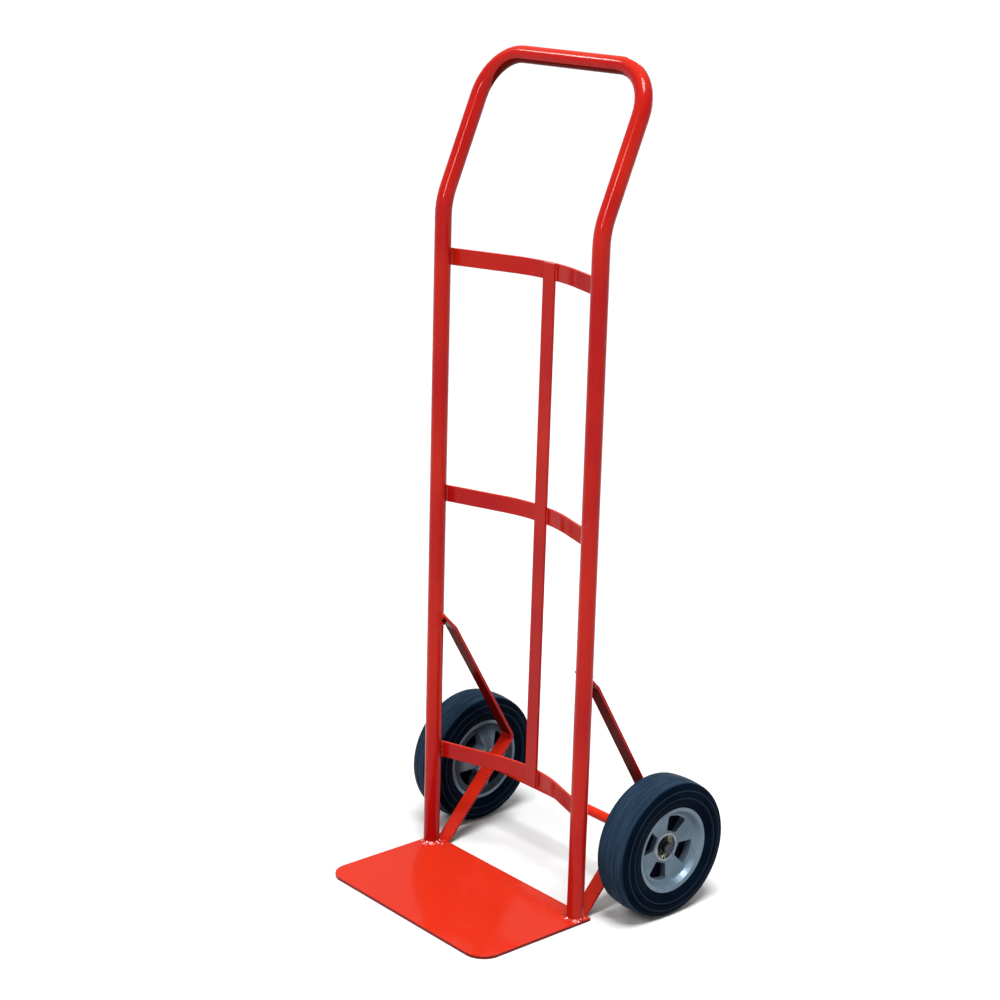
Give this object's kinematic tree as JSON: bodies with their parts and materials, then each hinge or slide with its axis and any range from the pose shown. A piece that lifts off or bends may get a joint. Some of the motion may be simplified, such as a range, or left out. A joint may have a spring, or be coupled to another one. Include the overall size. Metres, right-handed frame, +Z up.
{
  "type": "hand truck",
  "caption": "Upright hand truck with a looped tube handle, bowed cross bars, a flat toe plate and free-spinning solid rubber wheels.",
  "frame": {"origin": "on the floor, under the middle of the whole truck's bounding box", "axes": "+Z up, +Y from the toe plate towards the wheels and the user, +X to the right when looking at the front"},
  "size_m": [0.4976, 0.4275, 1.2562],
  "materials": {
    "frame_paint": "gloss red enamel",
    "weld_paint": "gloss red enamel over weld beads",
    "axle_paint": "gloss red enamel, bare ends",
    "tyre_rubber": "satin black rubber",
    "hub_metal": "satin light grey pressed metal",
    "sleeve_steel": "turned steel",
    "bearing_steel": "ground steel",
    "seal_rubber": "matt black rubber",
    "washer_steel": "zinc plated",
    "pin_steel": "zinc plated wire"
  },
  "bodies": {
    "frame": {"frame_tube": "frame_paint", "toe_plate": "frame_paint", "upper_cross_bar": "frame_paint", "middle_cross_bar": "frame_paint", "lower_cross_bar": "frame_paint", "centre_strap": "frame_paint", "left_brace": "frame_paint", "right_brace": "frame_paint", "axle": "axle_paint", "toe_plate_welds": "weld_paint", "cross_bar_welds": "weld_paint", "strap_welds": "weld_paint", "brace_welds": "weld_paint", "axle_welds": "weld_paint", "left_bearing_cones": "bearing_steel", "left_inner_spacer": "washer_steel", "left_outer_washer": "washer_steel", "left_split_pin": "pin_steel", "right_bearing_cones": "bearing_steel", "right_inner_spacer": "washer_steel", "right_outer_washer": "washer_steel", "right_split_pin": "pin_steel"},
    "left_wheel": {"left_tyre": "tyre_rubber", "left_hub_outer_disc": "hub_metal", "left_hub_inner_disc": "hub_metal", "left_hub_sleeve": "sleeve_steel", "left_bearing_cups": "bearing_steel", "left_bearing_balls": "bearing_steel", "left_bearing_seals": "seal_rubber"},
    "right_wheel": {"right_tyre": "tyre_rubber", "right_hub_outer_disc": "hub_metal", "right_hub_inner_disc": "hub_metal", "right_hub_sleeve": "sleeve_steel", "right_bearing_cups": "bearing_steel", "right_bearing_balls": "bearing_steel", "right_bearing_seals": "seal_rubber"}
  },
  "joints": [
    {"name": "left_wheel_spin", "type": "hinge", "parent": "frame", "child": "left_wheel", "pos_m": [-0.217, 0.10725, 0.1065], "axis": [1, 0, 0], "continuous": true},
    {"name": "right_wheel_spin", "type": "hinge", "parent": "frame", "child": "right_wheel", "pos_m": [0.217, 0.10725, 0.1065], "axis": [1, 0, 0], "continuous": true}
  ]
}
